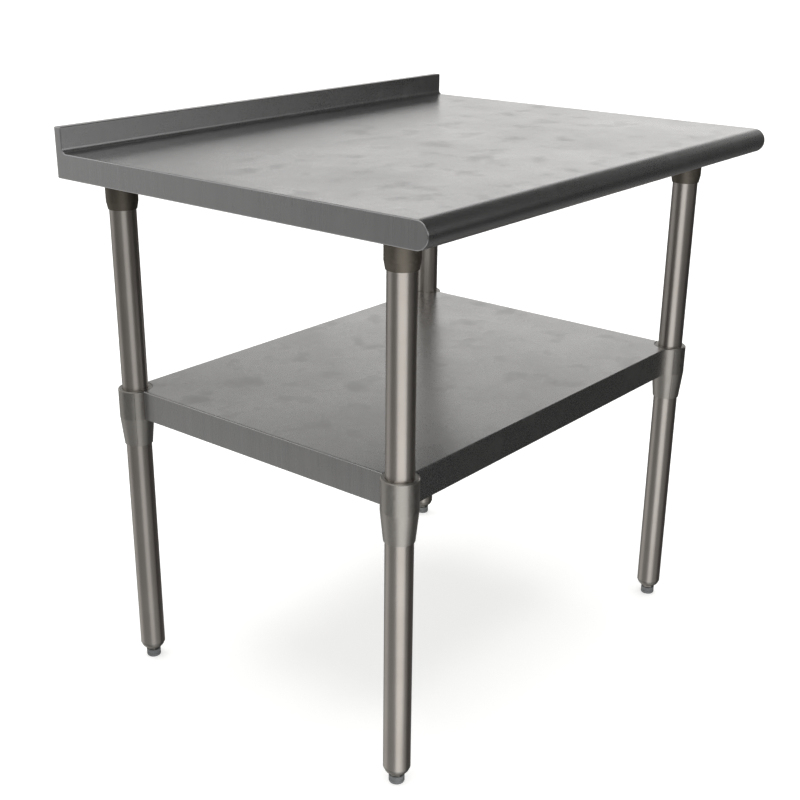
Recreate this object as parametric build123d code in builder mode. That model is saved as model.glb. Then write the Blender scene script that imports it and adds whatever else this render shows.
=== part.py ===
"""Stainless work table: folded top with a rear upturn, four tube legs on
adjustable feet, and an undershelf that slides on the legs between clamps.

Millimetres. +Z is up, +X runs along the table, the front faces -Y. The
origin is on the floor under the middle of the table's outline.
"""

import os
from math import sqrt

from build123d import *

# ---------------------------------------------------------------- top
table_length = 914.4
table_depth = 700.0
deck_height = 876.3
top_sheet = 1.2
top_edge_depth = 38.1
top_return = 12.7
bullnose_return = 12.0
upturn_height = 38.1
upturn_depth = 15.0
cove_radius = 7.0
bend_radius = 2.0
end_bend_radius = 1.6

# ----------------------------------------------- channels under the top
channel_sheet = 1.5
channel_height = 25.4
channel_plate_margin = 3.0
channel_flange = 22.0
channel_end_gap = 24.0
centre_channel_width = 50.0
centre_channel_gap = 2.0
stud_radius = 3.0
stud_length = 16.0
stud_end_inset = 40.0
stud_clearance = 0.3
washer_radius = 6.4
washer_thickness = 1.2
nut_across_flats = 10.0
nut_height = 5.0

# ------------------------------------------------------- legs and sockets
leg_radius = 20.65
leg_wall = 1.5
leg_end_inset = 76.5
leg_front_inset = 99.5
leg_back_inset = 51.0
leg_top_gap = 1.0
plate_thickness = 2.5
plate_edge_margin = 9.5
plate_bolt_clear = 15.7
bolt_radius = 3.0
bolt_clearance = 0.3
bolt_head_height = 4.0
bolt_grip_spare = 9.0
socket_wall = 3.65
socket_tip_wall = 1.35
socket_taper = 12.0
socket_below_edge = 50.0
leg_in_socket_gap = 0.3
set_screw_radius = 4.0
set_screw_gap = 0.05
socket_screw_proud = 4.4
socket_screw_above_tip = 28.0

# ------------------------------------------------------------------ feet
foot_drop = 30.0
insert_rim = 2.0
insert_length = 34.0
stem_radius = 4.76
thread_clearance = 0.1
stem_length = 40.0
running_gap = 0.3
foot_top_step = 1.05
foot_waist_radius = 12.6
foot_flank_bulge = 0.6
foot_hex_across_flats = 21.0
foot_hex_height = 4.4
glide_radius = 12.0
glide_height = 13.5
glide_edge = 2.0
glide_floor = 3.5
spigot_radius = 4.0

# ------------------------------------------------------------ undershelf
shelf_height = 498.0
shelf_sheet = 1.2
shelf_edge_depth = 48.0
shelf_return = 10.0
shelf_overhang = 6.0
shelf_bend_radius = 2.0
shelf_channel_width = 50.0
shelf_channel_height = 22.0
shelf_channel_flange = 20.0
shelf_channel_end_gap = 6.0
clamp_wall = 6.55
clamp_tip_wall = 1.65
clamp_skirt = 47.0
clamp_lip = 1.5
clamp_slide_gap = 0.3
notch_gap = 0.2
clamp_arm_reach = 42.5
clamp_arm_thickness = 4.0
clamp_arm_margin = 6.0
clamp_web = 3.0
clamp_boss_radius = 8.0
clamp_boss_proud = 12.5
clamp_screw_drop = 24.0
clamp_screw_inset = 3.0
screw_tip_gap = 0.3
key_socket_across_flats = 4.0
key_socket_depth = 4.0

# ------------------------------------------------- places worked out once
half_length = table_length / 2
front = -table_depth / 2
back = table_depth / 2
deck_under = deck_height - top_sheet
edge_bottom = deck_height - top_edge_depth
bullnose_radius = top_edge_depth / 2
bullnose_centre = front + bullnose_radius
upturn_top = deck_height + upturn_height
upturn_face = back - upturn_depth
leg_x = half_length - leg_end_inset
front_leg_y = front + leg_front_inset
back_leg_y = back - leg_back_inset
socket_bore = leg_radius + leg_in_socket_gap
socket_radius = socket_bore + socket_wall
plate_bolt_offset = (socket_radius + plate_bolt_clear) / sqrt(2)
plate_size = 2 * (plate_bolt_offset + plate_edge_margin)
channel_width = plate_size + 2 * channel_plate_margin
channel_bottom = deck_under - channel_height
plate_bottom = channel_bottom - plate_thickness
socket_tip = edge_bottom - socket_below_edge
leg_bore = leg_radius - leg_wall
leg_top = plate_bottom - leg_top_gap
shelf_middle_y = (front_leg_y + back_leg_y) / 2
shelf_half_length = leg_x + shelf_overhang
shelf_half_depth = (back_leg_y - front_leg_y) / 2 + shelf_overhang
shelf_under = shelf_height - shelf_sheet
shelf_edge_bottom = shelf_height - shelf_edge_depth
clamp_bore = leg_radius + clamp_slide_gap
clamp_radius = clamp_bore + clamp_wall

# Each corner of the table: the leg's centre, and the two ways that lead
# from it to the middle of the table.
corners = {
    "front_left": ((-leg_x, front_leg_y), (1, 0), (0, 1)),
    "front_right": ((leg_x, front_leg_y), (0, 1), (-1, 0)),
    "back_right": ((leg_x, back_leg_y), (-1, 0), (0, -1)),
    "back_left": ((-leg_x, back_leg_y), (0, -1), (1, 0)),
}


def level(corner, height):
    """Horizontal plane on the leg's centre line, both axes pointing inwards."""
    (x, y), inward, _ = corners[corner]
    return Plane(origin=(x, y, height), x_dir=(*inward, 0), z_dir=(0, 0, 1))


def upright(corner):
    """Upright plane through the leg's centre line: radius and height."""
    (x, y), _, _ = corners[corner]
    return Plane(origin=(x, y, 0), x_dir=(1, 0, 0), z_dir=(0, -1, 0))


def centre_line(corner):
    """The leg's own axis."""
    (x, y), _, _ = corners[corner]
    return Axis((x, y, 0), (0, 0, 1))


def inward_diagonal(corner, height, distance):
    """Plane across the line from a leg to the middle of the table."""
    (x, y), along, across = corners[corner]
    step_x = (along[0] + across[0]) / sqrt(2)
    step_y = (along[1] + across[1]) / sqrt(2)
    start = (x + step_x * distance, y + step_y * distance, height)
    return Plane(origin=start, x_dir=(0, 0, 1), z_dir=(step_x, step_y, 0))


def save(part, name):
    """Names a finished piece and writes it."""
    part.label = name
    export_step(part, f"parts/{name}.step")


def hat_channel(plane, length, width, height, flange, hole_spots):
    """Hat section that hangs from the sheet above it, folded from one strip.

    The plane's origin is on the sheet's underside at the channel's middle,
    and its normal runs along the channel.
    """
    drop = height - channel_sheet
    with BuildPart() as channel:
        with BuildSketch(plane):
            with BuildLine():
                FilletPolyline(
                    (-width / 2 - flange, 0),
                    (-width / 2, 0),
                    (-width / 2, -drop),
                    (width / 2, -drop),
                    (width / 2, 0),
                    (width / 2 + flange, 0),
                    radius=bend_radius,
                )
                offset(amount=channel_sheet, side=Side.RIGHT)
            make_face()
        extrude(amount=length / 2, both=True)
        with BuildSketch(Plane.XY.offset(plane.origin.Z)):
            with Locations(*hole_spots):
                Circle(stud_radius + stud_clearance)
        extrude(amount=-2 * channel_sheet, mode=Mode.SUBTRACT)
    return channel.part


os.makedirs("parts", exist_ok=True)

# ------------------------------------------------------------- worktop
# One sheet: back skirt, top of the upturn, its face, a coved corner, the
# deck, and the half-round front with its return under the edge. The two
# ends are turned down square and close the bullnose and the upturn.
with BuildPart() as worktop:
    with BuildSketch(Plane.YZ.offset(-half_length)):
        with BuildLine():
            FilletPolyline(
                (back - top_return, edge_bottom),
                (back, edge_bottom),
                (back, upturn_top),
                (upturn_face, upturn_top),
                (upturn_face, deck_height),
                (bullnose_centre, deck_height),
                radius=(bend_radius, bend_radius, bend_radius, cove_radius),
            )
            ThreePointArc(
                (bullnose_centre, deck_height),
                (front, deck_height - bullnose_radius),
                (bullnose_centre, edge_bottom),
            )
            Line(
                (bullnose_centre, edge_bottom),
                (bullnose_centre + bullnose_return, edge_bottom),
            )
            offset(amount=top_sheet, side=Side.LEFT)
        make_face()
    extrude(amount=table_length)
    for side in (-1, 1):
        with BuildSketch(Plane.YZ.offset(side * half_length)):
            with BuildLine():
                FilletPolyline(
                    (bullnose_centre, edge_bottom),
                    (back, edge_bottom),
                    (back, upturn_top),
                    (upturn_face, upturn_top),
                    (upturn_face, deck_height),
                    (bullnose_centre, deck_height),
                    radius=(bend_radius, bend_radius, bend_radius, cove_radius),
                )
                ThreePointArc(
                    (bullnose_centre, deck_height),
                    (front, deck_height - bullnose_radius),
                    (bullnose_centre, edge_bottom),
                )
            make_face()
        extrude(amount=-side * top_sheet)
        with BuildSketch(Plane.XY.offset(edge_bottom)):
            with Locations((side * (half_length - top_return / 2), (bullnose_centre + back) / 2)):
                Rectangle(top_return, back - bullnose_centre - 2 * bend_radius)
        extrude(amount=top_sheet)
    for outline in (worktop.faces().sort_by(Axis.X)[0], worktop.faces().sort_by(Axis.X)[-1]):
        visible = outline.outer_wire().edges().filter_by_position(
            Axis.Z, edge_bottom, upturn_top, inclusive=(False, True)
        )
        fillet(visible, radius=end_bend_radius)
save(worktop.part, "worktop")

# ------------------------------------------------ channels under the top
# Two channels run from front to back over the legs and carry the sockets.
# A third runs along the middle between them.
cross_length = upturn_face - bullnose_centre - 2 * channel_end_gap
cross_middle = (upturn_face + bullnose_centre) / 2
cross_reach = channel_width / 2 + channel_sheet
stud_across = channel_width / 2 + channel_sheet + (channel_flange - channel_sheet) / 2
stud_along = cross_length / 2 - stud_end_inset
stud_spots = []
for side, name in ((-1, "channel_left"), (1, "channel_right")):
    spots = []
    for along in (-stud_along, 0, stud_along):
        for across in (-stud_across, stud_across):
            spots.append((side * leg_x + across, cross_middle + along))
    cross_plane = Plane(
        origin=(side * leg_x, cross_middle, deck_under), x_dir=(1, 0, 0), z_dir=(0, -1, 0)
    )
    cross_channel = hat_channel(
        cross_plane, cross_length, channel_width, channel_height, channel_flange, spots
    )
    with BuildPart() as drilled:
        add(cross_channel)
        with BuildSketch(Plane.XY.offset(channel_bottom)):
            for row_y in (front_leg_y, back_leg_y):
                with Locations((side * leg_x, row_y)):
                    with GridLocations(2 * plate_bolt_offset, 2 * plate_bolt_offset, 2, 2):
                        Circle(bolt_radius + bolt_clearance)
        extrude(amount=2 * channel_sheet, mode=Mode.SUBTRACT)
    save(drilled.part, name)
    stud_spots += spots

centre_length = 2 * (leg_x - channel_width / 2 - channel_flange - centre_channel_gap)
centre_across = centre_channel_width / 2 + channel_sheet + (channel_flange - channel_sheet) / 2
centre_along = centre_length / 2 - stud_end_inset
centre_spots = []
for along in (-centre_along, 0, centre_along):
    for across in (-centre_across, centre_across):
        centre_spots.append((along, cross_middle + across))
centre_plane = Plane(origin=(0, cross_middle, deck_under), x_dir=(0, 1, 0), z_dir=(1, 0, 0))
channel_centre = hat_channel(
    centre_plane,
    centre_length,
    centre_channel_width,
    channel_height,
    channel_flange,
    centre_spots,
)
save(channel_centre, "channel_centre")
stud_spots += centre_spots

# Studs welded to the deck's underside, each with a washer and a nut that
# pull a channel's flange up to the deck.
flange_bottom = deck_under - channel_sheet
washer_bottom = flange_bottom - washer_thickness
with BuildPart() as weld_studs:
    with BuildSketch(Plane.XY.offset(deck_under)):
        with Locations(*stud_spots):
            Circle(stud_radius)
    extrude(amount=-stud_length)
save(weld_studs.part, "weld_studs")

with BuildPart() as stud_washers:
    with BuildSketch(Plane.XY.offset(flange_bottom)):
        with Locations(*stud_spots):
            Circle(washer_radius)
            Circle(stud_radius + stud_clearance, mode=Mode.SUBTRACT)
    extrude(amount=-washer_thickness)
save(stud_washers.part, "stud_washers")

with BuildPart() as stud_nuts:
    with BuildSketch(Plane.XY.offset(washer_bottom)):
        with Locations(*stud_spots):
            RegularPolygon(nut_across_flats / 2, 6, major_radius=False)
            Circle(stud_radius + set_screw_gap, mode=Mode.SUBTRACT)
    extrude(amount=-nut_height)
save(stud_nuts.part, "stud_nuts")

# ------------------------------------------------------ sockets and legs
socket_screw_height = socket_tip + socket_screw_above_tip
for corner in corners:
    with BuildPart() as socket_plate:
        with BuildSketch(level(corner, channel_bottom)):
            RectangleRounded(plate_size, plate_size, bend_radius * 2)
            with GridLocations(2 * plate_bolt_offset, 2 * plate_bolt_offset, 2, 2):
                Circle(bolt_radius + bolt_clearance, mode=Mode.SUBTRACT)
        extrude(amount=-plate_thickness)
    save(socket_plate.part, f"socket_plate_{corner}")

    # The socket is a stub of thick tube, drawn in at its lower end and
    # welded to the plate.
    with BuildPart() as leg_socket:
        with BuildSketch(upright(corner)):
            with BuildLine():
                Polyline(
                    (socket_bore, plate_bottom),
                    (socket_radius, plate_bottom),
                    (socket_radius, socket_tip + socket_taper),
                    (socket_bore + socket_tip_wall, socket_tip),
                    (socket_bore, socket_tip),
                    close=True,
                )
            make_face()
        revolve(axis=centre_line(corner))
        with BuildSketch(inward_diagonal(corner, socket_screw_height, leg_radius)):
            Circle(set_screw_radius + set_screw_gap)
        extrude(amount=socket_radius, mode=Mode.SUBTRACT)
    save(leg_socket.part, f"leg_socket_{corner}")

    with BuildPart() as leg:
        with BuildSketch(level(corner, foot_drop)):
            Circle(leg_radius)
            Circle(leg_bore, mode=Mode.SUBTRACT)
        extrude(amount=leg_top - foot_drop)
    save(leg.part, f"leg_{corner}")

bolt_spots = []
for (x, y), _, _ in corners.values():
    for step_x in (-plate_bolt_offset, plate_bolt_offset):
        for step_y in (-plate_bolt_offset, plate_bolt_offset):
            bolt_spots.append((x + step_x, y + step_y))

with BuildPart() as socket_bolts:
    with BuildSketch(Plane.XY.offset(plate_bottom)):
        with Locations(*bolt_spots):
            RegularPolygon(nut_across_flats / 2, 6, major_radius=False)
    extrude(amount=-bolt_head_height)
    with BuildSketch(Plane.XY.offset(plate_bottom)):
        with Locations(*bolt_spots):
            Circle(bolt_radius)
    extrude(amount=plate_thickness + channel_sheet + bolt_grip_spare)
save(socket_bolts.part, "socket_bolts")

with BuildPart() as socket_nuts:
    with BuildSketch(Plane.XY.offset(channel_bottom + channel_sheet)):
        with Locations(*bolt_spots):
            RegularPolygon(nut_across_flats / 2, 6, major_radius=False)
            Circle(bolt_radius + set_screw_gap, mode=Mode.SUBTRACT)
    extrude(amount=nut_height)
save(socket_nuts.part, "socket_nuts")


def set_screws(height, tip, head):
    """Four headless screws with a key socket, one in each corner's fitting."""
    with BuildPart() as screws:
        for corner in corners:
            with BuildSketch(inward_diagonal(corner, height, tip)):
                Circle(set_screw_radius)
            extrude(amount=head - tip)
            with BuildSketch(inward_diagonal(corner, height, head)):
                RegularPolygon(key_socket_across_flats / 2, 6, major_radius=False)
            extrude(amount=-key_socket_depth, mode=Mode.SUBTRACT)
    return screws.part


save(
    set_screws(socket_screw_height, leg_radius, socket_radius + socket_screw_proud),
    "socket_set_screws",
)

# ------------------------------------------------------------------ feet
# A threaded insert is pressed into each tube. The foot screws into it and
# turns on a glide that stands still on the floor.
rim_bottom = foot_drop - insert_rim
foot_top = rim_bottom - running_gap
foot_top_radius = leg_radius - foot_top_step
hex_bottom = glide_height + running_gap
hex_top = hex_bottom + foot_hex_height
for corner in corners:
    with BuildPart() as foot_insert:
        with BuildSketch(upright(corner)):
            with BuildLine():
                Polyline(
                    (stem_radius + thread_clearance, rim_bottom),
                    (leg_radius, rim_bottom),
                    (leg_radius, foot_drop),
                    (leg_bore, foot_drop),
                    (leg_bore, rim_bottom + insert_length),
                    (stem_radius + thread_clearance, rim_bottom + insert_length),
                    close=True,
                )
            make_face()
        revolve(axis=centre_line(corner))
    save(foot_insert.part, f"foot_insert_{corner}")

    with BuildPart() as bullet_foot:
        with BuildSketch(upright(corner)):
            with BuildLine():
                Polyline(
                    (foot_waist_radius, hex_top),
                    (0, hex_top),
                    (0, foot_top + stem_length),
                    (stem_radius, foot_top + stem_length),
                    (stem_radius, foot_top),
                    (foot_top_radius, foot_top),
                )
                ThreePointArc(
                    (foot_top_radius, foot_top),
                    (
                        foot_waist_radius
                        + foot_flank_bulge * (foot_top_radius - foot_waist_radius),
                        (foot_top + hex_top) / 2,
                    ),
                    (foot_waist_radius, hex_top),
                )
            make_face()
        revolve(axis=centre_line(corner))
        with BuildSketch(level(corner, hex_bottom)):
            RegularPolygon(foot_hex_across_flats / 2, 6, major_radius=False)
        extrude(amount=foot_hex_height)
        with BuildSketch(level(corner, glide_floor + running_gap)):
            Circle(spigot_radius)
        extrude(amount=hex_bottom - glide_floor - running_gap)
    save(bullet_foot.part, f"bullet_foot_{corner}")

    with BuildPart() as foot_glide:
        with BuildSketch(level(corner, 0)):
            Circle(glide_radius)
        extrude(amount=glide_height)
        fillet(foot_glide.edges().group_by(Axis.Z)[0], radius=glide_edge)
        with BuildSketch(level(corner, glide_height)):
            Circle(spigot_radius + thread_clearance)
        extrude(amount=glide_floor - glide_height, mode=Mode.SUBTRACT)
    save(foot_glide.part, f"foot_glide_{corner}")

# ------------------------------------------------------------ undershelf
# A folded pan with its corners cut away around the clamps.
with BuildPart() as undershelf:
    with BuildSketch(Plane.XY.offset(shelf_edge_bottom)):
        with Locations((0, shelf_middle_y)):
            Rectangle(2 * shelf_half_length, 2 * shelf_half_depth)
    extrude(amount=shelf_edge_depth)
    fillet(undershelf.edges().group_by(Axis.Z)[-1], radius=shelf_bend_radius)
    with BuildSketch(Plane.XY.offset(shelf_edge_bottom + shelf_sheet)):
        with Locations((0, shelf_middle_y)):
            Rectangle(
                2 * (shelf_half_length - shelf_sheet),
                2 * (shelf_half_depth - shelf_sheet),
            )
    extrude(amount=shelf_edge_depth - 2 * shelf_sheet, mode=Mode.SUBTRACT)
    with BuildSketch(Plane.XY.offset(shelf_edge_bottom)):
        with Locations((0, shelf_middle_y)):
            Rectangle(
                2 * (shelf_half_length - shelf_return),
                2 * (shelf_half_depth - shelf_return),
            )
    extrude(amount=shelf_sheet, mode=Mode.SUBTRACT)
    with BuildSketch(Plane.XY.offset(shelf_edge_bottom)):
        with Locations(*[centre for centre, _, _ in corners.values()]):
            Circle(clamp_radius + notch_gap)
    extrude(amount=shelf_edge_depth, mode=Mode.SUBTRACT)
save(undershelf.part, "undershelf")

shelf_channel_plane = Plane(
    origin=(0, shelf_middle_y, shelf_under), x_dir=(0, 1, 0), z_dir=(1, 0, 0)
)
with BuildPart() as shelf_channel:
    with BuildSketch(shelf_channel_plane):
        with BuildLine():
            FilletPolyline(
                (-shelf_channel_width / 2 - shelf_channel_flange, 0),
                (-shelf_channel_width / 2, 0),
                (-shelf_channel_width / 2, channel_sheet - shelf_channel_height),
                (shelf_channel_width / 2, channel_sheet - shelf_channel_height),
                (shelf_channel_width / 2, 0),
                (shelf_channel_width / 2 + shelf_channel_flange, 0),
                radius=bend_radius,
            )
            offset(amount=channel_sheet, side=Side.RIGHT)
        make_face()
    extrude(amount=shelf_half_length - shelf_sheet - shelf_channel_end_gap, both=True)
save(shelf_channel.part, "shelf_channel")

# Each clamp is cast: a collar around the leg that tapers below the shelf,
# two arms along the inside of the turned-down edges, a web under the deck
# and a boss for the set screw.
arm_top = shelf_under
arm_bottom = shelf_edge_bottom + shelf_sheet + clamp_arm_margin
arm_outer = shelf_sheet - shelf_overhang
clamp_tip = shelf_edge_bottom - clamp_skirt
clamp_arm_length = clamp_radius + clamp_arm_reach
clamp_boss_reach = clamp_radius + clamp_boss_proud
clamp_screw_height = shelf_height - clamp_screw_drop
for corner in corners:
    with BuildPart() as shelf_clamp:
        with BuildSketch(upright(corner)):
            with BuildLine():
                Polyline(
                    (leg_radius, shelf_height),
                    (clamp_radius - clamp_lip, shelf_height),
                    (clamp_radius, shelf_height - clamp_lip),
                    (clamp_radius, shelf_edge_bottom),
                    (clamp_bore + clamp_tip_wall, clamp_tip),
                    (leg_radius, clamp_tip),
                    close=True,
                )
            make_face()
        revolve(axis=centre_line(corner))
        with BuildSketch(level(corner, arm_bottom)):
            with Locations((clamp_arm_length / 2, arm_outer + clamp_arm_thickness / 2)):
                Rectangle(clamp_arm_length, clamp_arm_thickness)
            with Locations((arm_outer + clamp_arm_thickness / 2, clamp_arm_length / 2)):
                Rectangle(clamp_arm_thickness, clamp_arm_length)
        extrude(amount=arm_top - arm_bottom)
        with BuildSketch(level(corner, arm_top)):
            with BuildLine():
                Polyline(
                    (arm_outer, arm_outer),
                    (clamp_arm_length, arm_outer),
                    (arm_outer, clamp_arm_length),
                    close=True,
                )
            make_face()
        extrude(amount=-clamp_web)
        with BuildSketch(inward_diagonal(corner, clamp_screw_height, leg_radius)):
            Circle(clamp_boss_radius)
        extrude(amount=clamp_boss_reach - leg_radius)
        with BuildSketch(level(corner, clamp_tip)):
            Circle(clamp_bore)
        extrude(amount=shelf_height - clamp_tip, mode=Mode.SUBTRACT)
        with BuildSketch(inward_diagonal(corner, clamp_screw_height, 0)):
            Circle(set_screw_radius + set_screw_gap)
        extrude(amount=clamp_boss_reach, mode=Mode.SUBTRACT)
    save(shelf_clamp.part, f"shelf_clamp_{corner}")

save(
    set_screws(
        clamp_screw_height, leg_radius + screw_tip_gap, clamp_boss_reach - clamp_screw_inset
    ),
    "clamp_set_screws",
)
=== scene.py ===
import math

import bmesh
import bpy
from mathutils import Matrix, Quaternion, Vector


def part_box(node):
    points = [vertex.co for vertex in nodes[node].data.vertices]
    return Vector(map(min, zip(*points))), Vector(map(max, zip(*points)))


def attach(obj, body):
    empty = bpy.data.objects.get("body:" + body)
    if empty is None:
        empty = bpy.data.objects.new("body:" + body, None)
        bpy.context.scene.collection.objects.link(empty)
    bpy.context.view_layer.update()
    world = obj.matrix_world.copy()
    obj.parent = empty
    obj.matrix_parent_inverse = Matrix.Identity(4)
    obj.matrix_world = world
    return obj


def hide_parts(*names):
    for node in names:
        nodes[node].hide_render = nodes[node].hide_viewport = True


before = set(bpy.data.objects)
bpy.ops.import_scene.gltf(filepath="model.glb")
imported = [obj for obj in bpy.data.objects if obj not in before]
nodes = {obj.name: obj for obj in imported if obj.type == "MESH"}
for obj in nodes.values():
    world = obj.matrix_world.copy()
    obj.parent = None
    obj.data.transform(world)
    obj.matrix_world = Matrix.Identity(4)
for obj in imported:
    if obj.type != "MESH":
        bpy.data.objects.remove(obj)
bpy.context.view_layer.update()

# ---------------------------------------------------------------- camera
# The table seen from beyond its front left corner at chest height, with the
# lens tipped down by some 22 degrees and hardly shifted.
CAMERA_AT = (-1.6211, -1.2493, 1.2074)
AZIMUTH, ELEVATION, ROLL = (math.radians(angle) for angle in (-50.19, 21.93, 0.30))
LENS = 57.78
SHIFT = (0.0244, 0.0378)

back = Vector(
    (
        math.sin(AZIMUTH) * math.cos(ELEVATION),
        -math.cos(AZIMUTH) * math.cos(ELEVATION),
        math.sin(ELEVATION),
    )
)
level = Vector((math.cos(AZIMUTH), math.sin(AZIMUTH), 0))
right = level * math.cos(ROLL) + back.cross(level) * math.sin(ROLL)
turned_to = Matrix((right, back.cross(right), back)).transposed().to_4x4()
camera = bpy.data.objects.new("camera", bpy.data.cameras.new("camera"))
camera.data.sensor_width = 36
camera.data.lens = LENS
camera.data.shift_x, camera.data.shift_y = SHIFT
camera.data.clip_end = 100
camera.matrix_world = Matrix.Translation(CAMERA_AT) @ turned_to
bpy.context.scene.collection.objects.link(camera)
bpy.context.scene.camera = camera
bpy.context.scene.view_settings.view_transform = "Standard"


# ---------------------------------------------------------------- studio
# The room that the metal mirrors: a white wall behind the table with a dark
# room above it, dark sides, a brighter patch behind the camera and a dim
# floor. Upright faces mirror the floor, so they come out dull.
WALL, WALL_LOW_LEFT, SIDE_CARD = 1.15, 0.62, 0.8
ROOM_LEFT, ROOM_RIGHT, ROOM_NEAR, DARK_SIDE, CEILING = 0.55, 0.05, 0.55, 0.065, 0.8
FLOOR_LEFT, FLOOR_MIDDLE, FLOOR_RIGHT, FLOOR_DARK = 0.50, 0.16, 0.06, 0.025
FLOOR_NEAR_LEFT, FLOOR_NEAR_RIGHT = 0.24, 0.40
LOW_WALL_FADE = (0.30, 0.18)
STEEP_FLOOR_FADE = (-0.34, -0.54)
WALL_FADE, ROOM_FADE, CEILING_FADE = (-0.03, 0.01), (0.28, 0.46), (0.80, 0.93)
LAMP_WHITE = "#fffefc"


def linear(colour):
    """The linear red, green, blue and alpha of an sRGB hex colour."""
    parts = (int(colour[i : i + 2], 16) / 255 for i in (1, 3, 5))
    return (*(p / 12.92 if p <= 0.04045 else ((p + 0.055) / 1.055) ** 2.4 for p in parts), 1)


def add(tree, kind, inputs=None, **settings):
    """Adds a shader node. Each input is a value, or the output of a node that is linked to it."""
    made = tree.nodes.new("ShaderNode" + kind)
    for name, value in settings.items():
        setattr(made, name, value)
    for socket, value in (inputs or {}).items():
        if isinstance(value, bpy.types.NodeSocket):
            tree.links.new(value, made.inputs[socket])
        else:
            made.inputs[socket].default_value = value
    return made


def around(brightness, *cards):
    """The brightness at each compass direction, with cards stood before a plain brightness.

    A card is its direction (from +X towards +Y), the half width of its full part and of its
    faded edge, all in degrees, and its own brightness.
    """
    for azimuth, narrow, wide, card in cards:
        angle = math.radians(azimuth)
        compass = (math.cos(angle), math.sin(angle), 0)
        facing = add(tree, "VectorMath", {0: compass, 1: heading}, operation="DOT_PRODUCT")
        fade = {
            "Value": facing.outputs["Value"],
            "From Min": math.cos(math.radians(wide)),
            "From Max": math.cos(math.radians(narrow)),
        }
        shown = add(tree, "MapRange", fade, interpolation_type="SMOOTHSTEP").outputs[0]
        laid = add(tree, "Mix", {0: shown, 2: brightness, 3: card}, data_type="FLOAT")
        brightness = laid.outputs[0]
    return brightness


studio = bpy.data.worlds.new("studio")
bpy.context.scene.world = studio
studio.use_nodes = True
tree = studio.node_tree
tree.nodes.clear()
direction = add(tree, "TexCoord").outputs["Generated"]
height = add(tree, "SeparateXYZ", {0: direction}).outputs["Z"]
flat = add(tree, "VectorMath", {0: direction, 1: (1, 1, 0)}, operation="MULTIPLY").outputs[0]
heading = add(tree, "VectorMath", {0: flat}, operation="NORMALIZE").outputs[0]

low_left = around(WALL, (80, 28, 40, WALL_LOW_LEFT))
fade = {"Value": height, "From Min": LOW_WALL_FADE[0], "From Max": LOW_WALL_FADE[1]}
low = add(tree, "MapRange", fade, interpolation_type="SMOOTHSTEP").outputs[0]
wall = add(tree, "Mix", {0: low, 2: WALL, 3: low_left}, data_type="FLOAT").outputs[0]
wall = around(wall, (-112, 96, 114, DARK_SIDE), (-128, 45, 58, ROOM_NEAR), (-62, 8, 18, SIDE_CARD))
room = around(ROOM_LEFT, (-20, 60, 150, ROOM_RIGHT))
light = around(
    FLOOR_RIGHT, (-46, 2, 24, FLOOR_DARK), (160, 60, 130, FLOOR_MIDDLE), (108, 6, 34, FLOOR_LEFT)
)
near = around(FLOOR_NEAR_LEFT, (-95, 25, 55, FLOOR_NEAR_RIGHT), (-25, 25, 42, DARK_SIDE))
fade = {"Value": height, "From Min": STEEP_FLOOR_FADE[0], "From Max": STEEP_FLOOR_FADE[1]}
steep = add(tree, "MapRange", fade, interpolation_type="SMOOTHSTEP").outputs[0]
light = add(tree, "Math", {0: steep, 1: near, 2: light}, operation="MULTIPLY_ADD").outputs[0]
for (start, end), brightness in ((WALL_FADE, wall), (ROOM_FADE, room), (CEILING_FADE, CEILING)):
    fade = {"Value": height, "From Min": start, "From Max": end}
    shown = add(tree, "MapRange", fade, interpolation_type="SMOOTHSTEP").outputs[0]
    light = add(tree, "Mix", {0: shown, 2: light, 3: brightness}, data_type="FLOAT").outputs[0]
glow = add(tree, "Background", {"Color": linear(LAMP_WHITE), "Strength": light})
add(tree, "OutputWorld", {"Surface": glow.outputs[0]})


# ---------------------------------------------------------------- backdrop
# A pale paper floor and a white dome that meet without a line. Both are kept
# out of the metal's reflections, which come from the room above.
STAGE_RADIUS = 30


def new_material(name):
    """An empty material and its nodes."""
    made = bpy.data.materials.new(name)
    made.use_nodes = True
    made.node_tree.nodes.clear()
    return made, made.node_tree


def stage_piece(name, shape, material):
    """Turns a bmesh into a piece of the stage, which isn't part of the table."""
    data = bpy.data.meshes.new(name)
    shape.to_mesh(data)
    shape.free()
    piece = bpy.data.objects.new(name, data)
    bpy.context.scene.collection.objects.link(piece)
    data.materials.append(material)
    piece.visible_glossy = False
    piece.visible_shadow = False
    return piece


# Matt paper, lit from above: nearly white, and darker only in a soft shadow.
paper, tree = new_material("seamless_paper")
lit = add(tree, "BsdfDiffuse", {"Color": linear("#b9b9b8")})
glow = add(tree, "Emission", {"Color": linear("#dcdcdb")})
both = add(tree, "AddShader", {0: lit.outputs[0], 1: glow.outputs[0]})
add(tree, "OutputMaterial", {"Surface": both.outputs[0]})
disc = bmesh.new()
bmesh.ops.create_circle(disc, cap_ends=True, radius=STAGE_RADIUS, segments=64)
stage_piece("floor", disc, paper)

# White paint, evenly lit: it shows no shade of its own.
wall_paint, tree = new_material("white_wall")
glow = add(tree, "Emission", {"Color": linear("#ffffff")})
add(tree, "OutputMaterial", {"Surface": glow.outputs[0]})
dome = bmesh.new()
bmesh.ops.create_uvsphere(dome, u_segments=48, v_segments=24, radius=STAGE_RADIUS)
bmesh.ops.reverse_faces(dome, faces=dome.faces)
white_dome = stage_piece("wall", dome, wall_paint)
white_dome.visible_diffuse = False


# ---------------------------------------------------------------- lamps
# Two tall soft strips beside the camera draw the bright line down each leg.
# They are shielded from the sheet metal, which would show them as glare. A
# broad overhead light, not mirrored, casts the faint shadow on the floor.
CORNERS = ("front_left", "front_right", "back_right", "back_left")
ROUND_PARTS = ("leg_socket_", "leg_", "foot_insert_", "bullet_foot_", "foot_glide_", "shelf_clamp_")
STRIP_HEIGHT = 3.0
OVERHEAD_STRENGTH = 2.6
OVERHEAD_SPREAD = 50


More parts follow.
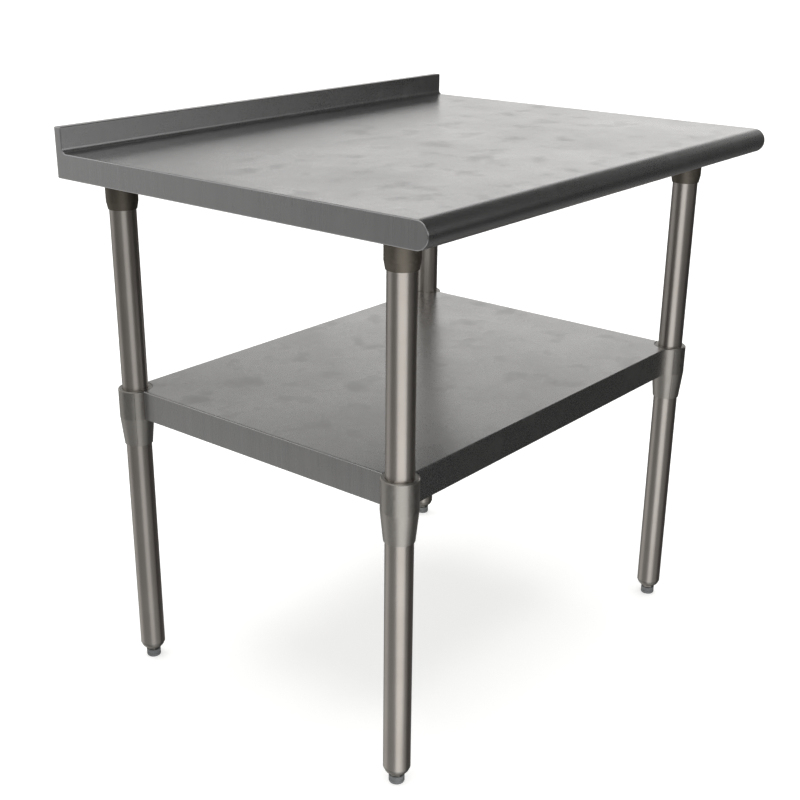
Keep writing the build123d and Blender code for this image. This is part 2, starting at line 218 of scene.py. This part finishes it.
def tall_strip(name, at, aim, lean, width, watts, corners):
    """Hangs a tall soft lamp that reaches only the round parts at some corners, and gives its reach."""
    lamp = bpy.data.lights.new(name, "AREA")
    lamp.shape = "RECTANGLE"
    lamp.size, lamp.size_y = width, STRIP_HEIGHT
    lamp.energy = watts
    hung = bpy.data.objects.new(name, lamp)
    hung.location = at
    hung.rotation_mode = "QUATERNION"
    facing = (Vector(aim) - Vector(at)).to_track_quat("-Z", "Y")
    hung.rotation_quaternion = facing @ Quaternion((0, 0, 1), math.radians(lean))
    hung.visible_camera = False
    bpy.context.scene.collection.objects.link(hung)
    reached = bpy.data.collections.new(name + "_reach")
    for part in ROUND_PARTS:
        for corner in corners:
            reached.objects.link(nodes[part + corner])
    hung.light_linking.receiver_collection = reached
    return dict.fromkeys(corners, reached)


reach = {
    **tall_strip(
        "tall_strip",
        at=(-1.11, -0.93, 0.45),
        aim=(-0.38, -0.25, 0.45),
        lean=22,
        width=1.3,
        watts=12.5,
        corners=CORNERS[:3],
    ),
    **tall_strip(
        "tall_strip_back",
        at=(-1.20, -0.87, 0.45),
        aim=(-0.38, 0.3, 0.45),
        lean=0,
        width=1.0,
        watts=4.5,
        corners=CORNERS[3:],
    ),
}
broad = bpy.data.lights.new("overhead", "SUN")
broad.energy = OVERHEAD_STRENGTH
broad.angle = math.radians(OVERHEAD_SPREAD)
overhead = bpy.data.objects.new("overhead", broad)
overhead.visible_glossy = False
bpy.context.scene.collection.objects.link(overhead)


# ---------------------------------------------------------------- worktop
# One sheet of 18 gauge stainless, folded down at the ends, rolled into a
# bullnose at the front and turned up at the back. It is belt brushed along
# its length before folding, so the grain turns down with the ends.
# The sizes of its patterns, and of the other materials' patterns, are in millimetres.
MM = 1000
GRAIN_LENGTH, GRAIN_WIDTH = 120, 1.6
BAND_LENGTH, BAND_WIDTH = 400, 14
SCRATCH_LENGTH, SCRATCH_WIDTH, SCRATCH_ANGLE = 110, 1.2, 0.6
SCRATCH_SPAN, SCRATCH_DULLING = (0.66, 0.74), 0.10
WIPED, WIPE_SHINE, WIPE_DULLING = 160, 0.025, 0.03
SMUDGE, SMUDGE_SPAN, SMUDGE_DULLING = 55, (0.55, 0.70), 0.05
GRAIN_DULLING = 0.04
GRAIN_DEPTH, GRAIN_STRENGTH = 0.02, 0.25
BUCKLE, BUCKLE_DEPTH = 300, 0.4
FOLD_TURN = 3
ACROSS_GRAIN = 0.25
NOISE_SPAN = {"From Min": 0.3, "From Max": 0.7}


def sheet_coordinates(tree):
    """The place along and across the grain of a folded sheet, and the grain's direction."""
    at = add(tree, "SeparateXYZ", {0: add(tree, "TexCoord").outputs["Object"]})
    facing = add(tree, "SeparateXYZ", {0: add(tree, "NewGeometry").outputs["Normal"]})
    end = add(tree, "Math", {0: facing.outputs["X"]}, operation="ABSOLUTE")
    far = add(tree, "Math", {0: at.outputs["X"]}, operation="ABSOLUTE")
    along = add(tree, "Math", {0: far.outputs[0], 1: at.outputs["Z"]}, operation="SUBTRACT")
    not_end = add(tree, "Math", {0: 1, 1: end.outputs[0]}, operation="SUBTRACT")
    rise = add(tree, "Math", {0: at.outputs["Z"], 1: not_end.outputs[0]}, operation="MULTIPLY")
    across = add(tree, "Math", {0: at.outputs["Y"], 1: rise.outputs[0]}, operation="ADD")
    turn = add(tree, "Math", {0: facing.outputs["X"], 1: FOLD_TURN}, operation="MULTIPLY")
    tangent = add(tree, "CombineXYZ", {"X": 1, "Z": turn.outputs[0]})
    place = add(
        tree, "CombineXYZ", {"X": along.outputs[0], "Y": across.outputs[0], "Z": far.outputs[0]}
    )
    return place.outputs[0], tangent.outputs[0]


def streaks(tree, place, length, width, detail=2.0):
    """Noise drawn out to streaks of that length and width in millimetres."""
    scale = add(tree, "Mapping", {"Vector": place, "Scale": (MM / length, MM / width, MM / width)})
    return add(tree, "TexNoise", {"Vector": scale.outputs[0], "Scale": 1, "Detail": detail}).outputs[0]


# Belt-brushed stainless: a soft sheen drawn out across the grain, with faint
# bands along it. Wiping leaves cloudy patches, small smudges are duller, and
# pans slid over it have left long thin scratches. The real grain and
# scratches are about 0.1 mm wide, and are drawn over ten times as coarse to
# show at all. Thin folded sheet also buckles a little between its channels.
def brushed_sheet(name, dark, light, rough):
    made, tree = new_material(name)
    place, tangent = sheet_coordinates(tree)
    fine = streaks(tree, place, GRAIN_LENGTH, GRAIN_WIDTH)
    broad = streaks(tree, place, BAND_LENGTH, BAND_WIDTH, 3.0)
    tone = add(tree, "Mix", {0: broad, 6: linear(dark), 7: linear(light)}, data_type="RGBA")

    point = add(tree, "TexCoord").outputs["Object"]
    cloud = add(tree, "TexNoise", {"Vector": point, "Scale": MM / WIPED, "Detail": 4.0})
    clouding = {"Value": cloud.outputs[0], "To Min": rough - WIPE_SHINE, "To Max": rough + WIPE_DULLING}
    worn = add(tree, "MapRange", {**NOISE_SPAN, **clouding})
    lining = {"Value": fine, "To Min": -GRAIN_DULLING, "To Max": GRAIN_DULLING}
    lined = add(tree, "MapRange", {**NOISE_SPAN, **lining})
    crossing = add(tree, "Mapping", {"Vector": point, "Rotation": (0, 0, SCRATCH_ANGLE)})
    hairs = streaks(tree, crossing.outputs[0], SCRATCH_LENGTH, SCRATCH_WIDTH)
    start, end = SCRATCH_SPAN
    scratching = {"Value": hairs, "From Min": start, "From Max": end, "To Max": SCRATCH_DULLING}
    scratched = add(tree, "MapRange", scratching)
    damp = add(tree, "TexNoise", {"Vector": point, "Scale": MM / SMUDGE, "Detail": 3.0}).outputs[0]
    start, end = SMUDGE_SPAN
    smudging = {"Value": damp, "From Min": start, "From Max": end, "To Max": SMUDGE_DULLING}
    smudged = add(tree, "MapRange", smudging)
    brushed = add(tree, "Math", {0: worn.outputs[0], 1: lined.outputs[0]}, operation="ADD")
    marked = add(tree, "Math", {0: scratched.outputs[0], 1: smudged.outputs[0]}, operation="ADD")
    roughness = add(tree, "Math", {0: brushed.outputs[0], 1: marked.outputs[0]}, operation="ADD")

    sag = add(tree, "TexNoise", {"Vector": point, "Scale": MM / BUCKLE, "Detail": 1.0}).outputs[0]
    wave = add(tree, "Bump", {"Height": sag, "Strength": 1.0, "Distance": BUCKLE_DEPTH / MM}).outputs[0]
    grained = {
        "Height": fine,
        "Normal": wave,
        "Strength": GRAIN_STRENGTH,
        "Distance": GRAIN_DEPTH / MM,
    }
    bump = add(tree, "Bump", grained)
    finish = {
        "Base Color": tone.outputs[2],
        "Roughness": roughness.outputs[0],
        "Normal": bump.outputs[0],
        "Tangent": tangent,
        "Metallic": 1.0,
        "Anisotropic": 0.5,
        "Anisotropic Rotation": ACROSS_GRAIN,
    }
    steel = add(tree, "BsdfPrincipled", finish)
    add(tree, "OutputMaterial", {"Surface": steel.outputs[0]})
    return made


def finish_node(name, material):
    """Gives a CAD node its finish."""
    slots = nodes[name].material_slots
    if not slots:
        nodes[name].data.materials.append(material)
    for each in slots:
        each.material = material


finish_node("worktop", brushed_sheet("brushed_stainless_top", "#bcbcbd", "#c8c8c9", 0.3))


# ---------------------------------------------------------------- channels
# Hat channels of galvanised steel sheet, pressed to shape and pulled up
# under the top by studs. Another is spot welded under the shelf.
ZINC_CRYSTAL, ZINC_FROST = 9, 1.2
ZINC_ROUGHNESS = (0.34, 0.55)
ZINC_FROST_DEPTH, ZINC_FROST_STRENGTH = 0.05, 0.2
ZINC_DARK, ZINC_LIGHT = "#8f9396", "#b4b8ba"
zinc_sheet, tree = new_material("galvanised_sheet")

# Hot-dip galvanised steel: the zinc froze in pale and dark crystals, some
# duller than others, under a fine frost. The frost's real grain is about
# 0.2 mm, and is drawn coarser to show.
point = add(tree, "TexCoord").outputs["Object"]
crystals = add(tree, "TexVoronoi", {"Vector": point, "Scale": MM / ZINC_CRYSTAL})
grey = add(tree, "SeparateColor", {0: crystals.outputs["Color"]})
mixed = {0: grey.outputs[0], 6: linear(ZINC_DARK), 7: linear(ZINC_LIGHT)}
tone = add(tree, "Mix", mixed, data_type="RGBA")
dulling = {"Value": grey.outputs[1], "To Min": ZINC_ROUGHNESS[0], "To Max": ZINC_ROUGHNESS[1]}
dull = add(tree, "MapRange", dulling)
frost = add(tree, "TexNoise", {"Vector": point, "Scale": MM / ZINC_FROST, "Detail": 2.0})
frosted = {
    "Height": frost.outputs[0],
    "Strength": ZINC_FROST_STRENGTH,
    "Distance": ZINC_FROST_DEPTH / MM,
}
bump = add(tree, "Bump", frosted)
finish = {
    "Base Color": tone.outputs[2],
    "Roughness": dull.outputs[0],
    "Normal": bump.outputs[0],
    "Metallic": 1.0,
}
zinc = add(tree, "BsdfPrincipled", finish)
add(tree, "OutputMaterial", {"Surface": zinc.outputs[0]})
for name in ("channel_left", "channel_right", "channel_centre", "shelf_channel"):
    finish_node(name, zinc_sheet)


# ---------------------------------------------------------------- studs
# M6 studs welded to the deck's underside, six along each channel's flanges,
# with a rolled thread and a broken edge at the tip. Their nuts pull the
# channels up.
STUD_RADIUS = 0.003
STUD_PITCH = 0.001
STUD_TIP = 0.0008
STUD_THREAD_START, STUD_THREAD_END = 0.0006, 0.0016
STUD_INSET = 0.040
STUD_FROM_FLANGE_EDGE = 0.01025
THREAD_ROOT, THREAD_CREST = 0.92, 0.12
THREAD_SINK = 0.00005
MOTTLE, MOTTLE_SHINE, MOTTLE_DULLING = 4, 0.06, 0.08
SPECK_DEPTH, SPECK_STRENGTH = 0.06, 0.3


# Plated, cast or welded metal: a slightly mottled tone, duller where it is
# paler, over a fine speckled skin. The real specks are 0.1 to 0.3 mm across,
# and are drawn coarser to show.
def mottled_metal(name, dark, light, rough, grain):
    made, tree = new_material(name)
    point = add(tree, "TexCoord").outputs["Object"]
    mottle = add(tree, "TexNoise", {"Vector": point, "Scale": MM / MOTTLE, "Detail": 3.0}).outputs[0]
    tone = add(tree, "Mix", {0: mottle, 6: linear(dark), 7: linear(light)}, data_type="RGBA")
    dulling = {"Value": mottle, "To Min": rough - MOTTLE_SHINE, "To Max": rough + MOTTLE_DULLING}
    dull = add(tree, "MapRange", {**NOISE_SPAN, **dulling})
    speck = add(tree, "TexNoise", {"Vector": point, "Scale": MM / grain, "Detail": 2.0})
    specked = {"Height": speck.outputs[0], "Strength": SPECK_STRENGTH, "Distance": SPECK_DEPTH / MM}
    bump = add(tree, "Bump", specked)
    finish = {
        "Base Color": tone.outputs[2],
        "Roughness": dull.outputs[0],
        "Normal": bump.outputs[0],
        "Metallic": 1.0,
    }
    metal = add(tree, "BsdfPrincipled", finish)
    add(tree, "OutputMaterial", {"Surface": metal.outputs[0]})
    return made


def finished(name, shape, material, body):
    """Turns a bmesh into a piece that rides on a body, smooth but for its real corners."""
    bmesh.ops.remove_doubles(shape, verts=shape.verts, dist=1e-7)
    bmesh.ops.recalc_face_normals(shape, faces=shape.faces)
    data = bpy.data.meshes.new(name)
    shape.to_mesh(data)
    shape.free()
    data.materials.append(material)
    data.shade_smooth()
    data.set_sharp_from_angle(angle=math.radians(32))
    piece = bpy.data.objects.new(name, data)
    bpy.context.scene.collection.objects.link(piece)
    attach(piece, body)
    return piece


def turned(shape, outline, steps):
    """Spins a closed outline of (radius, height) corners round the upright axis."""
    corners = [shape.verts.new((radius, 0, z)) for radius, z in outline]
    edges = [shape.edges.new(ends) for ends in zip(corners, corners[1:] + corners[:1])]
    bmesh.ops.spin(
        shape,
        geom=corners + edges,
        cent=(0, 0, 0),
        axis=(0, 0, 1),
        angle=2 * math.pi,
        steps=steps,
        use_merge=True,
    )


def thread(shape, low, high, root, crest, pitch, steps):
    """Winds a V-shaped ridge up an upright rod, from height low to height high."""
    half, tip = pitch * THREAD_ROOT / 2, pitch * THREAD_CREST / 2
    section = ((root, -half), (crest, -tip), (crest, tip), (root, half))
    face = shape.faces.new([shape.verts.new((radius, 0, low + half + z)) for radius, z in section])
    count = round((high - low - 2 * half) / pitch * steps)
    bmesh.ops.spin(
        shape,
        geom=[face],
        cent=(0, 0, 0),
        axis=(0, 0, 1),
        dvec=(0, 0, pitch / steps),
        angle=2 * math.pi * count / steps,
        steps=count,
    )


def set_out(pattern, spots):
    """One bmesh with a copy of a pattern at each spot."""
    drawn = bpy.data.meshes.new("pattern")
    pattern.to_mesh(drawn)
    pattern.free()
    row = bmesh.new()
    for spot in spots:
        start = len(row.verts)
        row.from_mesh(drawn)
        row.verts.ensure_lookup_table()
        bmesh.ops.translate(row, verts=row.verts[start:], vec=spot)
    bpy.data.meshes.remove(drawn)
    return row


# Bright zinc plate: a pale bluish grey, still shiny but slightly cloudy.
zinc_plate = mottled_metal("bright_zinc_plate", "#a3a5a6", "#c6c8c9", 0.32, 0.8)
(_, _, stud_tip), (_, _, stud_root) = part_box("weld_studs")
core = STUD_RADIUS - STUD_PITCH * 0.6
stud = bmesh.new()
turned(
    stud,
    [
        (0, stud_root),
        (core, stud_root),
        (core, stud_tip + STUD_TIP),
        (core - STUD_TIP, stud_tip),
        (0, stud_tip),
    ],
    steps=20,
)
stud_thread = (stud_tip + STUD_THREAD_START, stud_root - STUD_THREAD_END)
thread(stud, *stud_thread, core - THREAD_SINK, STUD_RADIUS, STUD_PITCH, steps=14)
spots = []
for channel in ("channel_left", "channel_right", "channel_centre"):
    low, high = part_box(channel)
    middle, half = (low + high) / 2, (high - low) / 2
    length, width = (0, 1) if half.x > half.y else (1, 0)
    for step in (-1, 0, 1):
        for side in (-1, 1):
            spot = middle * Vector((1, 1, 0))
            spot[length] += step * (half[length] - STUD_INSET)
            spot[width] += side * (half[width] - STUD_FROM_FLANGE_EDGE)
            spots.append(spot)
studs = finished("threaded_studs", set_out(stud, spots), zinc_plate, "table")
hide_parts("weld_studs")


# ---------------------------------------------------------------- fasteners
# Steel nuts, washers and bolts, barrel plated with bright zinc, and set
# screws blackened in hot salts.
for name in ("stud_washers", "stud_nuts", "socket_bolts", "socket_nuts"):
    finish_node(name, zinc_plate)

# Black oxide: a near-black skin, half dull, with the oil's faint sheen.
black_oxide = mottled_metal("black_oxide_screws", "#26272a", "#3c3d40", 0.42, 0.7)
for name in ("socket_set_screws", "clamp_set_screws"):
    finish_node(name, black_oxide)


# ---------------------------------------------------------------- sockets
# Stubs of thick steel tube, drawn in at the lower end, that hold the legs.
# Each is welded to a plate, and the plate is bolted up to the channels.

# Dull plating over drawn steel: brownish grey, darker and flatter than the
# polished tube below it.
socket_steel = mottled_metal("dull_plated_socket", "#625d55", "#7d776e", 0.52, 0.9)
for corner in CORNERS:
    finish_node("socket_plate_" + corner, socket_steel)
    finish_node("leg_socket_" + corner, socket_steel)


# ---------------------------------------------------------------- socket welds
# A bead of weld round the top of each socket, where it meets its plate. The
# welder dabbed the filler in, which left a ripple every 2 mm.
WELD_LEG = 0.0024
WELD_RIPPLE = 0.0021
RIPPLE_SWELL = 0.14

# Weld metal: brighter than the socket, with a rippled satin skin.
weld_steel = mottled_metal("tig_weld_bead", "#7c766c", "#a39c90", 0.36, 0.6)
low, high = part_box("leg_socket_front_left")
socket_radius = (high.x - low.x) / 2
ripples = round(2 * math.pi * socket_radius / WELD_RIPPLE)
bead = bmesh.new()
stand_up = Matrix.Translation((socket_radius, 0, high.z)) @ Matrix.Rotation(math.pi / 2, 4, "X")
bmesh.ops.create_circle(bead, segments=10, radius=WELD_LEG, matrix=stand_up)
bmesh.ops.spin(
    bead,
    geom=bead.verts[:] + bead.edges[:],
    cent=(0, 0, 0),
    axis=(0, 0, 1),
    angle=2 * math.pi,
    steps=4 * ripples,
    use_merge=True,
)
for vertex in bead.verts:
    out = vertex.co.xy.normalized().to_3d()
    root = out * socket_radius + Vector((0, 0, high.z))
    swell = RIPPLE_SWELL * math.cos(ripples * math.atan2(out.y, out.x))
    vertex.co = root + (vertex.co - root) * (1 + swell)
leg_centres = {}
for corner in CORNERS:
    low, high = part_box("leg_" + corner)
    leg_centres[corner] = (low + high) / 2 * Vector((1, 1, 0))
finished("socket_welds", set_out(bead, leg_centres.values()), weld_steel, "table")


# ---------------------------------------------------------------- legs
# Legs of 41 mm welded stainless tube, which slide up into the sockets. A
# steel insert, tapped for the foot, is pressed into the end of each.
RING_LENGTH, RING_WIDTH = 60, 1.4
TUBE_CLOUD = 70
RING_DULLING = 0.015
RING_DEPTH, RING_STRENGTH = 0.002, 0.1


# Stainless polished on a belt while it turns: a broad soft highlight down
# its length, warm grey, with fine rings round it. The real rings are about
# 0.1 mm wide, and are drawn coarser to show.
def polished_tube(name, dark, light, rough):
    made, tree = new_material(name)
    point = add(tree, "TexCoord").outputs["Object"]
    stretch = (MM / RING_LENGTH, MM / RING_LENGTH, MM / RING_WIDTH)
    rings = add(tree, "Mapping", {"Vector": point, "Scale": stretch})
    fine = add(tree, "TexNoise", {"Vector": rings.outputs[0], "Scale": 1, "Detail": 2.0}).outputs[0]
    cloud = add(tree, "TexNoise", {"Vector": point, "Scale": MM / TUBE_CLOUD, "Detail": 3.0})
    mixed = {0: cloud.outputs[0], 6: linear(dark), 7: linear(light)}
    tone = add(tree, "Mix", mixed, data_type="RGBA")
    ringing = {"Value": fine, "To Min": rough - RING_DULLING, "To Max": rough + RING_DULLING}
    dull = add(tree, "MapRange", {**NOISE_SPAN, **ringing})
    ringed = {"Height": fine, "Strength": RING_STRENGTH, "Distance": RING_DEPTH / MM}
    bump = add(tree, "Bump", ringed)
    tangent = add(tree, "Tangent", direction_type="RADIAL", axis="Z")
    finish = {
        "Base Color": tone.outputs[2],
        "Roughness": dull.outputs[0],
        "Normal": bump.outputs[0],
        "Tangent": tangent.outputs[0],
        "Metallic": 1.0,
        "Anisotropic": 0.45,
        "Anisotropic Rotation": ACROSS_GRAIN,
    }
    metal = add(tree, "BsdfPrincipled", finish)
    add(tree, "OutputMaterial", {"Surface": metal.outputs[0]})
    return made


tube_steel = polished_tube("polished_stainless_tube", "#a8a29c", "#b9b4ae", 0.33)

# Turned steel, left as it came off the lathe: a mid grey satin.
insert_steel = mottled_metal("turned_insert", "#8b8986", "#a6a4a0", 0.35, 0.8)
for corner in CORNERS:
    finish_node("leg_" + corner, tube_steel)
    finish_node("foot_insert_" + corner, insert_steel)


# ---------------------------------------------------------------- feet
# Bullet feet turned from steel bar, with a hexagon for the spanner below the
# bulb and a 3/8-16 threaded stem above it that screws up into the insert.
FOOT_RIM_RADIUS = 0.0196
FOOT_WAIST_RADIUS = 0.0126
FOOT_BULB = ((0.0194, 0.0020), (0.0187, 0.0042), (0.0173, 0.0064), (0.0154, 0.0080))
FOOT_BULB_HEIGHT = 0.0095
FOOT_EDGE = 0.0005
FOOT_WAIST_EDGE = 0.0006
HEX_ACROSS_FLATS = 0.021
HEX_HEIGHT = 0.0044
HEX_CHAMFER = 0.0006
SPIGOT_RADIUS = 0.004
STEM_RADIUS = 0.00476
STEM_PITCH = 0.0254 / 16
STEM_LENGTH = 0.040
STEM_CHAMFER = 0.001
STEM_THREAD_START, STEM_THREAD_END = 0.0016, 0.0012
low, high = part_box("bullet_foot_front_left")
shoulder = high.z - STEM_LENGTH
waist = shoulder - FOOT_BULB_HEIGHT
core = STEM_RADIUS - STEM_PITCH * 0.5
foot = bmesh.new()
turned(
    foot,
    [
        (0, waist),
        (FOOT_WAIST_RADIUS - FOOT_WAIST_EDGE, waist),
        (FOOT_WAIST_RADIUS, waist + FOOT_EDGE),
        *((radius, shoulder - drop) for radius, drop in reversed(FOOT_BULB)),
        (FOOT_RIM_RADIUS, shoulder - FOOT_EDGE),
        (FOOT_RIM_RADIUS - FOOT_EDGE, shoulder),
        (core, shoulder),
        (core, high.z - STEM_CHAMFER),
        (core - STEM_CHAMFER, high.z),
        (0, high.z),
    ],
    steps=72,
)
turned(foot, [(0, low.z), (SPIGOT_RADIUS, low.z), (SPIGOT_RADIUS, waist), (0, waist)], steps=24)
hexagon = bmesh.ops.create_circle(
    foot,
    cap_ends=True,
    segments=6,
    radius=HEX_ACROSS_FLATS / math.sqrt(3),
    matrix=Matrix.Translation((0, 0, waist)) @ Matrix.Rotation(math.pi / 6, 4, "Z"),
)["verts"]
grown = bmesh.ops.extrude_face_region(foot, geom=hexagon[0].link_faces[:])["geom"]
underside = [v for v in grown if isinstance(v, bmesh.types.BMVert)]
bmesh.ops.translate(foot, verts=underside, vec=(0, 0, -HEX_HEIGHT))
bmesh.ops.bevel(
    foot,
    geom=[e for e in foot.edges if all(v in underside for v in e.verts)],
    offset=HEX_CHAMFER,
    offset_type="OFFSET",
    affect="EDGES",
    segments=2,
    profile=0.5,
    material=-1,
)
stem_thread = (shoulder + STEM_THREAD_START, high.z - STEM_THREAD_END)
thread(foot, *stem_thread, core - THREAD_SINK, STEM_RADIUS, STEM_PITCH, steps=20)

# Turned and polished steel: as the tube, but a shade darker.
foot_steel = polished_tube("turned_foot", "#8e8a85", "#a19d97", 0.34)
for corner, centre in leg_centres.items():
    shape = set_out(foot.copy(), [centre])
    piece = finished("threaded_foot_" + corner, shape, foot_steel, "foot_" + corner)
    reach[corner].objects.link(piece)
    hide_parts("bullet_foot_" + corner)
foot.free()


# ---------------------------------------------------------------- glides
# Moulded nylon tips, pushed on the spigots under the feet, so that the table
# neither scratches the floor nor turns its glide as the foot is screwed out.
NYLON_DARK, NYLON_LIGHT = "#5c5e60", "#77797a"
NYLON_GRAIN, NYLON_CLOUD = 0.9, 12
NYLON_DEPTH, NYLON_STRENGTH = 0.06, 0.3
GLIDE_RADIUS = 0.012
GLIDE_BORE = 0.0041
GLIDE_FLOOR = 0.0035
BASE_HOLLOW_RADIUS, BASE_RING_INSIDE, BASE_RING_OUTSIDE = 0.0074, 0.0080, 0.0100
BASE_ROUND_RADIUS, BASE_ROUND_LOW, BASE_ROUND_HIGH = 0.0112, 0.0005, 0.0020
GROOVE_LOW, GROOVE_HIGH = 0.0052, 0.0076
GROOVE_DEPTH = 0.0006
RIM_ROUND = 0.0008
BORE_CHAMFER = 0.0005

# Grey nylon straight from the mould: satin, faintly cloudy, with the fine
# spark-eroded grain of its mould, drawn coarser than its real 0.1 mm.
grey_nylon, tree = new_material("grey_nylon")
point = add(tree, "TexCoord").outputs["Object"]
grain = add(tree, "TexNoise", {"Vector": point, "Scale": MM / NYLON_GRAIN, "Detail": 2.0})
cloud = add(tree, "TexNoise", {"Vector": point, "Scale": MM / NYLON_CLOUD, "Detail": 2.0})
mixed = {0: cloud.outputs[0], 6: linear(NYLON_DARK), 7: linear(NYLON_LIGHT)}
tone = add(tree, "Mix", mixed, data_type="RGBA")
grained = {"Height": grain.outputs[0], "Strength": NYLON_STRENGTH, "Distance": NYLON_DEPTH / MM}
bump = add(tree, "Bump", grained)
finish = {"Base Color": tone.outputs[2], "Normal": bump.outputs[0], "Roughness": 0.48, "IOR": 1.53}
nylon = add(tree, "BsdfPrincipled", finish)
add(tree, "OutputMaterial", {"Surface": nylon.outputs[0]})

low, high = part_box("foot_glide_front_left")
glide = bmesh.new()
turned(
    glide,
    [
        (0, low.z + RIM_ROUND),
        (BASE_HOLLOW_RADIUS, low.z + RIM_ROUND),
        (BASE_RING_INSIDE, low.z),
        (BASE_RING_OUTSIDE, low.z),
        (BASE_ROUND_RADIUS, low.z + BASE_ROUND_LOW),
        (GLIDE_RADIUS, low.z + BASE_ROUND_HIGH),
        (GLIDE_RADIUS, low.z + GROOVE_LOW),
        (GLIDE_RADIUS - GROOVE_DEPTH, low.z + GROOVE_LOW + GROOVE_DEPTH),
        (GLIDE_RADIUS - GROOVE_DEPTH, low.z + GROOVE_HIGH - GROOVE_DEPTH),
        (GLIDE_RADIUS, low.z + GROOVE_HIGH),
        (GLIDE_RADIUS, high.z - RIM_ROUND),
        (GLIDE_RADIUS - RIM_ROUND, high.z),
        (GLIDE_BORE + BORE_CHAMFER, high.z),
        (GLIDE_BORE, high.z - BORE_CHAMFER),
        (GLIDE_BORE, low.z + GLIDE_FLOOR),
        (0, low.z + GLIDE_FLOOR),
    ],
    steps=64,
)
for corner, centre in leg_centres.items():
    shape = set_out(glide.copy(), [centre])
    piece = finished("nylon_glide_" + corner, shape, grey_nylon, "glide_" + corner)
    reach[corner].objects.link(piece)
    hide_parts("foot_glide_" + corner)
glide.free()


# ---------------------------------------------------------------- undershelf
# A tray folded from stainless sheet, notched at the corners for the clamps
# that carry it. It has the same brushed grain as the top, but is a shade
# darker and has a little more sheen.
finish_node("undershelf", brushed_sheet("brushed_stainless_shelf", "#b3b3b3", "#c0c0c0", 0.28))


# ---------------------------------------------------------------- spot welds
# The shelf's stiffening channel is spot welded through its flanges. Each
# weld leaves a shallow round dent with a raised lip.
CHANNEL_GAUGE = 0.0015
SPOT_RADIUS = 0.0032
SPOT_ROOT = 0.0001
SPOT_LIP = 0.00025
SPOT_SKIN = 0.00002
LIP_FOOT, LIP_CREST, DENT_EDGE = 0.0008, 0.0004, 0.0006
SPOT_SPACING = 0.095
SPOT_END_MARGIN = 0.03
SPOT_FROM_FLANGE_EDGE = 0.0095
low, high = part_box("shelf_channel")
flange_under = high.z - CHANNEL_GAUGE
dent = bmesh.new()
turned(
    dent,
    [
        (0, flange_under + SPOT_ROOT),
        (SPOT_RADIUS + LIP_FOOT, flange_under + SPOT_ROOT),
        (SPOT_RADIUS + LIP_FOOT, flange_under - SPOT_SKIN),
        (SPOT_RADIUS + LIP_CREST, flange_under - SPOT_LIP),
        (SPOT_RADIUS, flange_under - SPOT_LIP),
        (SPOT_RADIUS - DENT_EDGE, flange_under - SPOT_SKIN * 2),
        (0, flange_under - SPOT_SKIN * 1.5),
    ],
    steps=28,
)
gaps = int((high.x - low.x - 2 * SPOT_END_MARGIN) / SPOT_SPACING)
spots = [
    Vector(((low.x + high.x) / 2 + (step - gaps / 2) * SPOT_SPACING, y, 0))
    for step in range(gaps + 1)
    for y in (low.y + SPOT_FROM_FLANGE_EDGE, high.y - SPOT_FROM_FLANGE_EDGE)
]

# Scorched zinc: the heat has blued it, and browned it in places.
blued_spot = mottled_metal("heat_blued_spot", "#5d6470", "#8d8578", 0.38, 0.7)
finished("shelf_spot_welds", set_out(dent, spots), blued_spot, "shelf")


# ---------------------------------------------------------------- clamps
# Cast aluminium collars that grip the legs with a set screw each and carry
# the shelf's corners. The two halves of the mould have left a low line of
# flash down both sides.
CLAMP_RADIUS = 0.0275
CLAMP_TIP_RADIUS = 0.0226
CLAMP_SKIRT = 0.047
LIP_BREAK = 0.0015
FLASH = 0.00045
FLASH_SINK = FLASH * 0.4

# Aluminium, cast and tumbled smooth: pale warm grey with a soft sheen and a
# slightly pitted skin.
cast_aluminium = mottled_metal("cast_aluminium_clamp", "#9b9893", "#aaa7a2", 0.36, 1.1)
shelf_middle = sum(leg_centres.values(), Vector()) / len(leg_centres)
for corner, centre in leg_centres.items():
    finish_node("shelf_clamp_" + corner, cast_aluminium)
    low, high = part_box("shelf_clamp_" + corner)
    inward = shelf_middle - centre
    parting = Vector((-math.copysign(1, inward.y), math.copysign(1, inward.x), 0)).normalized()
    line = bmesh.new()
    for side in (parting * -1, parting):
        place = centre + side * (CLAMP_RADIUS - FLASH_SINK) + Vector((0, 0, high.z - LIP_BREAK))
        stand = Matrix.Translation(place)
        ring = bmesh.ops.create_circle(line, cap_ends=True, segments=6, radius=FLASH, matrix=stand)
        ends = ring["verts"][0].link_faces[:]
        for radius, z in ((CLAMP_RADIUS, low.z + CLAMP_SKIRT), (CLAMP_TIP_RADIUS, low.z)):
            grown = bmesh.ops.extrude_face_region(line, geom=ends)["geom"]
            moved = [v for v in grown if isinstance(v, bmesh.types.BMVert)]
            ends = [f for f in grown if isinstance(f, bmesh.types.BMFace)]
            goal = centre + side * (radius - FLASH_SINK) + Vector((0, 0, z))
            bmesh.ops.translate(line, verts=moved, vec=goal - place)
            place = goal
    finished("clamp_mould_line_" + corner, line, cast_aluminium, "shelf")
